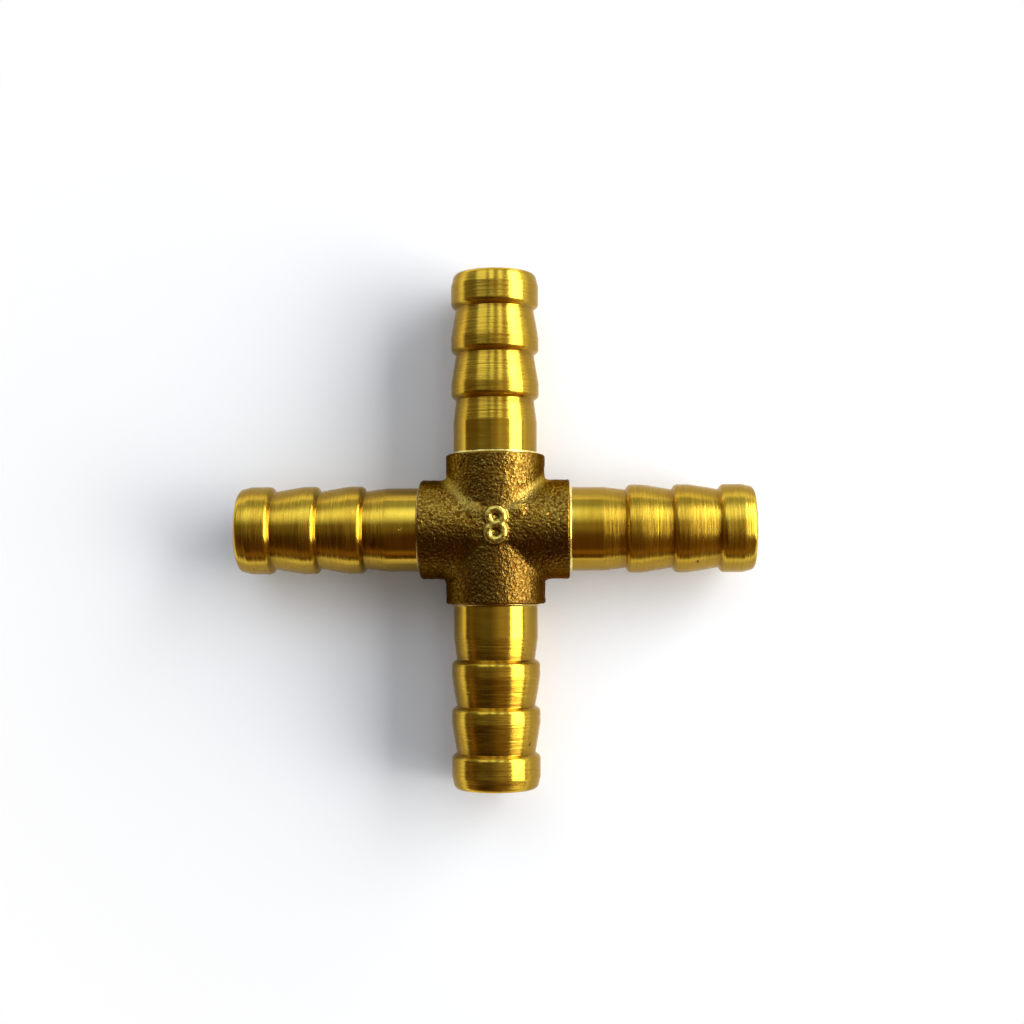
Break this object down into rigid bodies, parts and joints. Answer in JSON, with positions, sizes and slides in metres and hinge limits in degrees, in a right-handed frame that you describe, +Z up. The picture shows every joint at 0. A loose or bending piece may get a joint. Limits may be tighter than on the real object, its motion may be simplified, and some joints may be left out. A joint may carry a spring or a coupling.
{
  "type": "hose barb cross fitting",
  "caption": "Brass cross fitting for joining hoses: a sand-cast hub with barbed hose tails at right angles and a through waterway in each direction.",
  "frame": {"origin": "where the axes of the waterways cross, at the centre of the hub", "axes": "+X along the right-hand tail, +Y along the back tail, +Z up, square to the plane of the cross"},
  "size_m": [0.0492, 0.0492, 0.0094],
  "materials": {
    "cast_brass": "rough sand-cast skin, darkened",
    "turned_brass": "bright turned, fine turning marks",
    "braze_filler": "bright smooth filler fillet"
  },
  "bodies": {
    "root": {"hub_casting": "cast_brass", "hose_tail_left": "turned_brass", "hose_tail_right": "turned_brass", "hose_tail_front": "turned_brass", "hose_tail_back": "turned_brass", "braze_ring_left": "braze_filler", "braze_ring_right": "braze_filler", "braze_ring_front": "braze_filler", "braze_ring_back": "braze_filler"}
  },
  "joints": []
}
